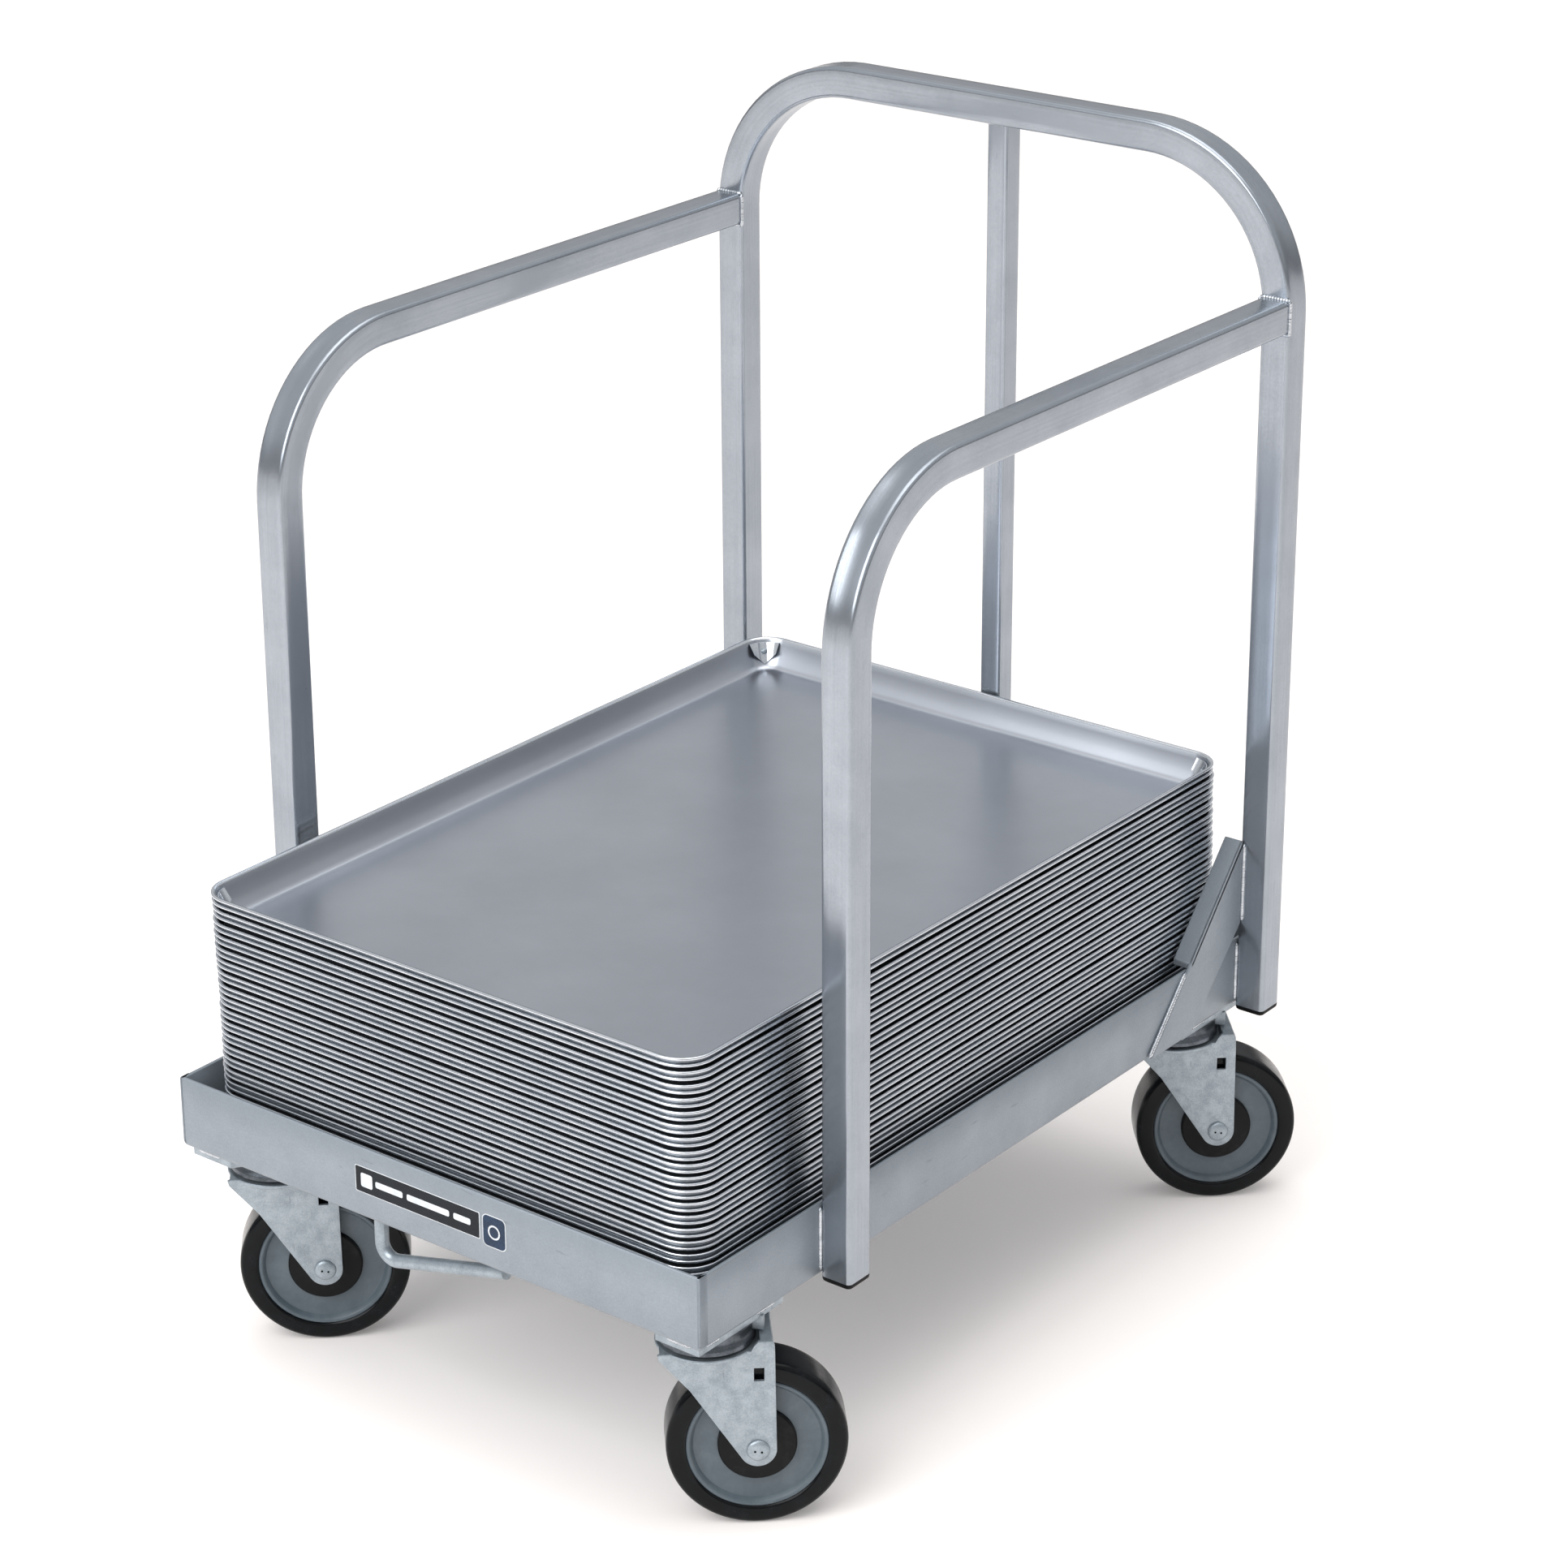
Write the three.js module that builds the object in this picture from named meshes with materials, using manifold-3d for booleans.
// Sheet pan rack: a low curb of aluminium angle on four swivel casters, loaded with a nested stack
// of full-size sheet pans, with a bent square-tube push handle and two bent side rails.
// Millimetres, +Z up, +Y towards the handle end, origin on the floor under the middle of the whole
// footprint, turned casters included.
import * as THREE from 'three';
import { mergeVertices } from 'three/addons/utils/BufferGeometryUtils.js';
import Module from 'manifold-3d';

const wasm = await Module();
wasm.setup();

// Driving dimensions
const GAP = 0.3;                  // clearance left between pieces that touch or are welded
const CURB_WIDTH = 488;
const CURB_LENGTH = 700;
const CURB_BOTTOM = 166;          // height of the underside of the curb
const CURB_HEIGHT = 57;
const ANGLE_FLANGE = 38;
const SHEET = 3.2;                // thickness of the curb angles and braces
const TUBE = 25.4;                // one inch square tube
const TUBE_WALL = 1.65;
const TUBE_CORNER = 4;
const FOOT_HEIGHT = 165;          // height of the open tube ends
const HANDLE_TOP = 863.5;
const HANDLE_FRONT = 320;         // front face of the handle legs
const HANDLE_BEND = 119;          // bend radii are to the middle of the tube
const RAIL_TOP = 745.5;
const RAIL_LEG_Y = -205;
const RAIL_BEND = 107;
const POST = 19;                  // middle post, three-quarter inch square tube
const WHEEL_RADIUS = 63.5;        // five inch wheel
const TREAD = 36;
const CASTER_INSET_X = 39;        // swivel axis from the outer faces of the curb
const CASTER_INSET_Y = 55;
const CASTER_TRAIL = 33.5;
const CASTER_ANGLE = 42;          // degrees that each fork is turned at rest
const PAN_COUNT = 19;
const PAN_WIDTH = 457.2;          // full-size sheet pan, 18 by 26 inches
const PAN_LENGTH = 660.4;
const PAN_DEPTH = 25.4;
const STACK_TOP = 370.5;
const STACK_Y = -5;               // the stack sits slightly towards the front

// Sizes worked out from those
const HALF_W = CURB_WIDTH / 2;
const HALF_L = CURB_LENGTH / 2;
const CURB_TOP = CURB_BOTTOM + CURB_HEIGHT;
const TUBE_X = HALF_W + GAP + TUBE / 2;
const SWIVEL_X = HALF_W - CASTER_INSET_X;
const SWIVEL_Y = HALF_L - CASTER_INSET_Y;
const STACK_BOTTOM = CURB_BOTTOM + SHEET + GAP;
const PAN_PITCH = (STACK_TOP - PAN_DEPTH - STACK_BOTTOM) / (PAN_COUNT - 1);

const material = (color, roughness, metalness) =>
  new THREE.MeshStandardMaterial({ color, roughness, metalness });
const aluminium = () => material(0xb4bac2, 0.38, 1.0);
const pan_metal = () => material(0xc2c6cc, 0.3, 1.0);
const zinc = () => material(0xb7bec4, 0.42, 1.0);
const grey_plastic = () => material(0x6f7c84, 0.5, 0.0);
const tyre_rubber = () => material(0x20262b, 0.55, 0.0);
const black_plastic = () => material(0x17181a, 0.5, 0.0);

const rack = new THREE.Group();

function place(parent, name, geometry, surface) {
  const mesh = new THREE.Mesh(geometry, surface);
  mesh.name = name;
  parent.add(mesh);
  return mesh;
}

// Booleans
function to_solid(geometry) {
  const bare = geometry.clone();
  bare.deleteAttribute('normal');
  bare.deleteAttribute('uv');
  const merged = mergeVertices(bare, 1e-3);
  const mesh = new wasm.Mesh({
    numProp: 3,
    vertProperties: new Float32Array(merged.attributes.position.array),
    triVerts: new Uint32Array(merged.index.array),
  });
  return new wasm.Manifold(mesh);
}

function to_geometry(solid) {
  const mesh = solid.getMesh();
  const geometry = new THREE.BufferGeometry();
  geometry.setAttribute('position', new THREE.BufferAttribute(mesh.vertProperties, 3));
  geometry.setIndex(new THREE.BufferAttribute(mesh.triVerts, 1));
  return geometry;
}

function join(...geometries) {
  const solids = geometries.map(to_solid);
  const whole = solids.reduce((sum, solid) => sum.add(solid));
  return to_geometry(whole);
}

function cut(geometry, ...tools) {
  const rest = tools.map(to_solid).reduce((left, tool) => left.subtract(tool), to_solid(geometry));
  return to_geometry(rest);
}

// Flat outlines
function outline(points) {
  return new THREE.Shape(points.map(([x, y]) => new THREE.Vector2(x, y)));
}

function rounded_rectangle(path, width, height, radius) {
  const x = width / 2 - radius;
  const y = height / 2 - radius;
  path.absarc(x, y, radius, 0, Math.PI / 2);
  path.absarc(-x, y, radius, Math.PI / 2, Math.PI);
  path.absarc(-x, -y, radius, Math.PI, Math.PI * 1.5);
  path.absarc(x, -y, radius, Math.PI * 1.5, Math.PI * 2);
  path.closePath();
  return path;
}

function tube_section(size) {
  const shape = rounded_rectangle(new THREE.Shape(), size, size, TUBE_CORNER);
  const inner = size - 2 * TUBE_WALL;
  shape.holes.push(rounded_rectangle(new THREE.Path(), inner, inner, TUBE_CORNER - TUBE_WALL));
  return shape;
}

function slab(shape, depth, low = 0, curveSegments = 6) {
  const geometry = new THREE.ExtrudeGeometry(shape, { depth, curveSegments, bevelEnabled: false });
  geometry.translate(0, 0, low);
  return geometry;
}

function disc(radius, low, high, sides = 20) {
  const geometry = new THREE.CylinderGeometry(radius, radius, high - low, sides);
  geometry.rotateX(Math.PI / 2);
  geometry.translate(0, 0, (low + high) / 2);
  return geometry;
}

// A path whose steps land exactly on the stations given: straight runs take one step, bends several.
class StationPath extends THREE.Curve {
  constructor(points, tangents) {
    super();
    this.points = points;
    this.tangents = tangents;
  }

  station(u) {
    return Math.round(u * (this.points.length - 1));
  }

  getPointAt(u) {
    return this.points[this.station(u)].clone();
  }

  getTangentAt(u) {
    return this.tangents[this.station(u)].clone();
  }
}

// Stations along straight runs between corners, with every inner corner rounded to the bend radius.
function bent_path(corners, radius, bend_steps) {
  const points = [corners[0].clone()];
  const tangents = [corners[1].clone().sub(corners[0]).normalize()];
  for (let i = 1; i < corners.length - 1; i += 1) {
    const before = corners[i].clone().sub(corners[i - 1]).normalize();
    const after = corners[i + 1].clone().sub(corners[i]).normalize();
    const turn = before.angleTo(after);
    const setback = radius * Math.tan(turn / 2);
    const side = after.clone().addScaledVector(before, -after.dot(before)).normalize();
    const start = corners[i].clone().addScaledVector(before, -setback);
    const centre = start.clone().addScaledVector(side, radius);
    for (let k = 0; k <= bend_steps; k += 1) {
      const a = turn * k / bend_steps;
      const point = centre.clone().addScaledVector(side, -radius * Math.cos(a));
      points.push(point.addScaledVector(before, radius * Math.sin(a)));
      tangents.push(before.clone().multiplyScalar(Math.cos(a)).addScaledVector(side, Math.sin(a)));
    }
  }
  points.push(corners.at(-1).clone());
  tangents.push(corners.at(-1).clone().sub(corners.at(-2)).normalize());
  return new StationPath(points, tangents);
}

function sweep(section, path, curveSegments) {
  const steps = path.points.length - 1;
  return new THREE.ExtrudeGeometry(section, { steps, curveSegments, extrudePath: path });
}

const at = (x, y, z) => new THREE.Vector3(x, y, z);

// Curb: four angles, upright leg outside, flange under the pans, mitred at the corners.
function curb_angle(length) {
  const bend = 5;
  const section = new THREE.Shape();
  section.moveTo(0, CURB_HEIGHT);
  section.lineTo(0, bend);
  section.absarc(bend, bend, bend, Math.PI, Math.PI * 1.5);
  section.lineTo(ANGLE_FLANGE, 0);
  section.lineTo(ANGLE_FLANGE, SHEET);
  section.lineTo(SHEET, SHEET);
  section.lineTo(SHEET, CURB_HEIGHT);
  const geometry = slab(section, 1, 0, 4);
  const spot = geometry.attributes.position;
  for (let i = 0; i < spot.count; i += 1) {
    const inward = spot.getX(i);
    const side = spot.getZ(i) < 0.5 ? -1 : 1;
    const along = side * (length / 2 - inward - GAP / 2);
    spot.setXYZ(i, along, inward, spot.getY(i));
  }
  return geometry;
}

function build_curb() {
  const sides = [
    ['curb_front', CURB_WIDTH, HALF_L, 0],
    ['curb_right', CURB_LENGTH, HALF_W, 90],
    ['curb_rear', CURB_WIDTH, HALF_L, 180],
    ['curb_left', CURB_LENGTH, HALF_W, 270],
  ];
  for (const [name, length, reach, turn] of sides) {
    const holder = new THREE.Group();
    holder.rotation.z = THREE.MathUtils.degToRad(turn);
    const mesh = place(holder, name, curb_angle(length), aluminium());
    mesh.position.set(0, -reach, CURB_BOTTOM);
    rack.add(holder);
  }
  const span = CURB_WIDTH - 2 * (ANGLE_FLANGE + GAP);
  for (const [name, y] of [['cross_bar_front', -130], ['cross_bar_rear', 130]]) {
    const bar = place(rack, name, new THREE.BoxGeometry(span, ANGLE_FLANGE, SHEET), aluminium());
    bar.position.set(0, y, CURB_BOTTOM + SHEET / 2);
  }
}

// Push handle, middle post and side rails
function build_tubes() {
  const section = tube_section(TUBE);
  const handle_y = HANDLE_FRONT + TUBE / 2;
  const handle_z = HANDLE_TOP - TUBE / 2;
  const handle = bent_path([
    at(-TUBE_X, handle_y, FOOT_HEIGHT),
    at(-TUBE_X, handle_y, handle_z),
    at(TUBE_X, handle_y, handle_z),
    at(TUBE_X, handle_y, FOOT_HEIGHT),
  ], HANDLE_BEND, 7);
  place(rack, 'handle_tube', sweep(section, handle, 1), aluminium());

  const post_height = HANDLE_TOP - TUBE - GAP - STACK_BOTTOM;
  const post = place(rack, 'middle_post', slab(tube_section(POST), post_height, 0, 1), aluminium());
  post.position.set(0, HALF_L - SHEET - GAP - POST / 2, STACK_BOTTOM);

  for (const [name, side] of [['rail_left', -1], ['rail_right', 1]]) {
    const rail_z = RAIL_TOP - TUBE / 2;
    const rail = bent_path([
      at(side * TUBE_X, RAIL_LEG_Y, FOOT_HEIGHT),
      at(side * TUBE_X, RAIL_LEG_Y, rail_z),
      at(side * TUBE_X, HANDLE_FRONT - GAP, rail_z),
    ], RAIL_BEND, 7);
    place(rack, name, sweep(section, rail, 1), aluminium());
  }
}

// Plastic end caps: a flange under each open tube end and a plug inside it.
function build_caps() {
  const cap_height = 2;
  const plug = TUBE - 2 * TUBE_WALL - 2 * GAP;
  const flange_shape = rounded_rectangle(new THREE.Shape(), TUBE, TUBE, TUBE_CORNER);
  const plug_shape = rounded_rectangle(new THREE.Shape(), plug, plug, TUBE_CORNER - TUBE_WALL);
  const flange = slab(flange_shape, cap_height, -GAP - cap_height, 1);
  const stem = slab(plug_shape, 14, -GAP - cap_height / 2, 1);
  const handle_y = HANDLE_FRONT + TUBE / 2;
  for (const [side_name, side] of [['left', -1], ['right', 1]]) {
    for (const [end_name, y] of [['rail', RAIL_LEG_Y], ['handle', handle_y]]) {
      const name = `cap_${end_name}_${side_name}`;
      const cap = place(rack, name, join(flange, stem), black_plastic());
      cap.position.set(side * TUBE_X, y, FOOT_HEIGHT);
    }
  }
}

// Braces: an angle on the outside of the curb that rises to the front of each handle leg. Its
// flange turns inwards along the upper edge, above the curb.
function build_braces() {
  const foot_y = 197;
  const foot_z = CURB_BOTTOM + 2;
  const foot_run = 55;
  const end_y = HANDLE_FRONT - GAP;
  const high_z = 308;
  const low_z = high_z - 70;
  const flange_reach = 13.5;
  const rise = (high_z - foot_z) / (end_y - foot_y);
  const edge = (y) => foot_z + (y - foot_y) * rise;
  const lip_drop = SHEET * Math.hypot(1, rise);
  const lip_start = foot_y + (CURB_TOP + GAP + lip_drop - foot_z) / rise;
  const web = outline([[foot_y, foot_z], [foot_y + foot_run, foot_z], [end_y, low_z], [end_y, high_z]]);
  const lip = outline([
    [lip_start, edge(lip_start) - lip_drop],
    [end_y, high_z - lip_drop],
    [end_y, high_z],
    [lip_start, edge(lip_start)],
  ]);
  // The outlines are drawn in Y and Z, so the slabs are turned to run along X.
  const stand = (geometry) => geometry.rotateX(Math.PI / 2).rotateZ(Math.PI / 2);
  const web_slab = stand(slab(web, SHEET, HALF_W + GAP));
  const lip_slab = stand(slab(lip, flange_reach + GAP + SHEET, HALF_W - flange_reach));
  const right = join(web_slab, lip_slab);
  place(rack, 'brace_right', right, aluminium());
  const left = right.clone().scale(-1, 1, 1);
  const order = left.index.array;
  for (let i = 0; i < order.length; i += 3) {
    [order[i], order[i + 1]] = [order[i + 1], order[i]];
  }
  place(rack, 'brace_left', left, aluminium());
}

// Pull loop: a bent round rod welded under the front flange.
function build_pull_loop() {
  const rod = new THREE.Shape().absarc(0, 0, 5.2, 0, Math.PI * 2);
  const y = -HALF_L + 14;
  const top = CURB_BOTTOM - GAP;
  const path = bent_path([
    at(-60, y, top),
    at(-60, y, CURB_BOTTOM - 42),
    at(58, y, CURB_BOTTOM - 7.5),
  ], 12, 5);
  place(rack, 'pull_loop', sweep(rod, path, 5), aluminium());
}

// Caster pieces, modelled about the swivel axis with the wheel trailing along +X.
const PLATE_TOP = CURB_BOTTOM - GAP;
const PLATE_THICK = 6.4;
const RACE_TOP = 141.5;           // top of the turning fork's crown
const LIP_TOP = 148.5;            // top of the raised lip behind the race
const FORK_GAP = 43;              // inside width of the fork
const FORK_SHEET = 3;
const AXLE_RADIUS = 6;

function top_plate(mirror_x, mirror_y) {
  const reach_x = CASTER_INSET_X - 5;
  const reach_y = CASTER_INSET_Y - 5;
  const corner = [
    [reach_x, reach_y],
    [reach_x - 38, reach_y],
    [-40, -2],
    [-40, -42],
    [reach_x, -42],
  ];
  const placed = corner.map(([x, y]) => [x * mirror_x, y * mirror_y]);
  const shape = outline(mirror_x * mirror_y > 0 ? placed : placed.reverse());
  const plate = slab(shape, PLATE_THICK, PLATE_TOP - PLATE_THICK);
  const upper_race = disc(34, RACE_TOP + 1.6, PLATE_TOP - PLATE_THICK / 2);
  const ball_ring = disc(30, RACE_TOP + GAP, RACE_TOP + 4);
  const king_pin = disc(6, RACE_TOP - 6, RACE_TOP + 8, 16);
  const pin_head = disc(9, RACE_TOP - 6, RACE_TOP - 3.2, 16);
  const lug_turn = THREE.MathUtils.degToRad(CASTER_ANGLE - 6);
  const lug_shape = new THREE.Shape();
  lug_shape.absarc(0, 0, 40, lug_turn - 0.17, lug_turn + 0.17, false);
  lug_shape.absarc(0, 0, 32, lug_turn + 0.17, lug_turn - 0.17, true);
  const lug_bottom = LIP_TOP + 1.3;
  const lug = slab(lug_shape, PLATE_TOP - PLATE_THICK / 2 - lug_bottom, lug_bottom, 4);
  return join(plate, upper_race, ball_ring, king_pin, pin_head, lug);
}

function fork_plate() {
  const shape = new THREE.Shape();
  const axle_z = WHEEL_RADIUS;
  shape.moveTo(-35, RACE_TOP - 1);
  shape.lineTo(-34, RACE_TOP - 5);
  shape.lineTo(-13, 112);
  shape.lineTo(CASTER_TRAIL - 10.6, axle_z - 7.6);
  shape.absarc(CASTER_TRAIL, axle_z, 13, Math.PI * 1.2, Math.PI * 2 + 0.05);
  shape.lineTo(45.6, LIP_TOP - 10);
  shape.lineTo(44.8, LIP_TOP - 1.2);
  shape.lineTo(42.5, LIP_TOP);
  shape.lineTo(33, LIP_TOP);
  shape.lineTo(29, RACE_TOP);
  shape.lineTo(-34, RACE_TOP);
  const hole = new THREE.Path();
  hole.absarc(CASTER_TRAIL, axle_z, AXLE_RADIUS + 2 * GAP, 0, Math.PI * 2);
  const slot = new THREE.Path();
  slot.moveTo(31, 118);
  slot.lineTo(38, 118);
  slot.lineTo(38, 128);
  slot.lineTo(31, 128);
  slot.closePath();
  shape.holes.push(hole, slot);
  return shape;
}

function build_fork() {
  const shape = fork_plate();
  const upright = (y) => slab(shape, FORK_SHEET, 0, 5).rotateX(Math.PI / 2).translate(0, y, 0);
  const near = upright(-FORK_GAP / 2);
  const far = upright(FORK_GAP / 2 + FORK_SHEET);
  const crown_disc = disc(36, RACE_TOP - 2.9, RACE_TOP);
  const half_width = FORK_GAP / 2 + FORK_SHEET - 0.5;
  const bridge = (from, to, low, high) =>
    slab(outline([[from, -half_width], [to, -half_width], [to, half_width], [from, half_width]]),
      high - low, low);
  const crown_strip = bridge(-34, 38, RACE_TOP - 2.9, RACE_TOP - 0.1);
  const lip = bridge(35.2, 43.6, LIP_TOP - 3, LIP_TOP - 0.1);
  const step = bridge(35.2, 37.9, RACE_TOP - 2.8, LIP_TOP - 0.2);
  const whole = join(near, far, crown_disc, crown_strip, lip, step);
  return cut(whole, disc(AXLE_RADIUS + GAP, RACE_TOP - 10, RACE_TOP + 10, 16));
}

function spun(points, sides) {
  const profile = points.map(([r, w]) => new THREE.Vector2(r, w));
  const geometry = new THREE.LatheGeometry(profile, sides);
  geometry.rotateY(Math.PI);
  return geometry;
}

// Profiles are radius and distance along the axle, listed so that the faces point out.
function wheel_core() {
  const half = TREAD / 2;
  const hub_half = FORK_GAP / 2 - 2 * GAP;
  const side = [
    [AXLE_RADIUS + 0.1, hub_half],
    [13, hub_half],
    [14, half + 1],
    [27.5, half],
    [28.5, half - 4.5],
    [44, half - 5],
    [47, half - 1],
    [49.7, half - 1],
  ];
  const other = side.map(([r, w]) => [r, -w]);
  const loop = [...other, ...side.reverse()];
  return spun([...loop, loop[0]], 20);
}

function wheel_tyre() {
  const half = TREAD / 2;
  const side = [
    [50, half - 1],
    [52, half],
    [59, half - 0.6],
    [62.4, half - 2.6],
    [WHEEL_RADIUS, half - 5.5],
  ];
  const other = side.map(([r, w]) => [r, -w]);
  const loop = [...other, ...side.reverse()];
  return spun([...loop, loop[0]], 28);
}

function axle_bolt() {
  const face = FORK_GAP / 2 + FORK_SHEET + GAP;
  return spun([
    [0, -face - 6],
    [8.5, -face - 6],
    [9.5, -face],
    [AXLE_RADIUS, -face],
    [AXLE_RADIUS, face],
    [8.5, face],
    [7.5, face + 2.2],
    [0, face + 2.8],
  ], 12);
}

function build_casters() {
  const corners = [
    ['front_left', -1, -1],
    ['front_right', 1, -1],
    ['rear_left', -1, 1],
    ['rear_right', 1, 1],
  ];
  const fork = build_fork();
  const core = wheel_core();
  const tyre = wheel_tyre();
  const bolt = axle_bolt();
  for (const [corner, side_x, side_y] of corners) {
    const mount = new THREE.Group();
    mount.position.set(side_x * SWIVEL_X, side_y * SWIVEL_Y, 0);
    place(mount, `caster_plate_${corner}`, top_plate(side_x, side_y), zinc());
    const swivel = new THREE.Group();
    swivel.rotation.z = THREE.MathUtils.degToRad(CASTER_ANGLE);
    place(swivel, `fork_${corner}`, fork, zinc());
    const wheel = new THREE.Group();
    wheel.position.set(CASTER_TRAIL, 0, WHEEL_RADIUS);
    place(wheel, `wheel_core_${corner}`, core, grey_plastic());
    place(wheel, `tyre_${corner}`, tyre, tyre_rubber());
    const axle = place(wheel, `axle_${corner}`, bolt, zinc());
    axle.rotation.x = Math.PI;
    swivel.add(wheel);
    mount.add(swivel);
    rack.add(mount);
  }
}

// Sheet pans: a rounded rectangle pushed through the levels of the folded pan profile, from the
// underside of the floor, up the outside, over the rolled rim and down to the top of the floor.
function sheet_pan() {
  const corner = 26;
  const thick = 1;
  const rim_height = 6;
  const rim_depth = 5.2;
  const taper = 6.2;
  const levels = [
    [rim_depth + taper, 0],
    [rim_depth, PAN_DEPTH - rim_height],
    [0, PAN_DEPTH - rim_height + 1.2],
    [0, PAN_DEPTH - 1.6],
    [2, PAN_DEPTH],
    [rim_depth, PAN_DEPTH - 1],
    [rim_depth + taper + thick, thick],
  ];
  const count = levels.length - 1;
  const shape = rounded_rectangle(new THREE.Shape(), PAN_WIDTH, PAN_LENGTH, corner);
  const geometry = new THREE.ExtrudeGeometry(shape, {
    depth: count,
    steps: count,
    curveSegments: 2,
    bevelEnabled: false,
  });
  const spot = geometry.attributes.position;
  for (let i = 0; i < spot.count; i += 1) {
    const [inset, z] = levels[Math.round(spot.getZ(i))];
    const centre_x = Math.sign(spot.getX(i)) * (PAN_WIDTH / 2 - corner);
    const centre_y = Math.sign(spot.getY(i)) * (PAN_LENGTH / 2 - corner);
    const keep = (corner - inset) / corner;
    const x = centre_x + (spot.getX(i) - centre_x) * keep;
    const y = centre_y + (spot.getY(i) - centre_y) * keep;
    spot.setXYZ(i, x, y, z);
  }
  return geometry;
}

function build_pans() {
  const pan = sheet_pan();
  for (let i = 0; i < PAN_COUNT; i += 1) {
    const name = `pan_${String(i + 1).padStart(2, '0')}`;
    const mesh = place(rack, name, pan, pan_metal());
    mesh.position.set(0, STACK_Y, STACK_BOTTOM + i * PAN_PITCH);
  }
}

build_curb();
build_tubes();
build_caps();
build_braces();
build_pull_loop();
build_casters();
build_pans();

const footprint = new THREE.Box3().setFromObject(rack, true).getCenter(new THREE.Vector3());
rack.position.set(-footprint.x, -footprint.y, 0);

export default rack;
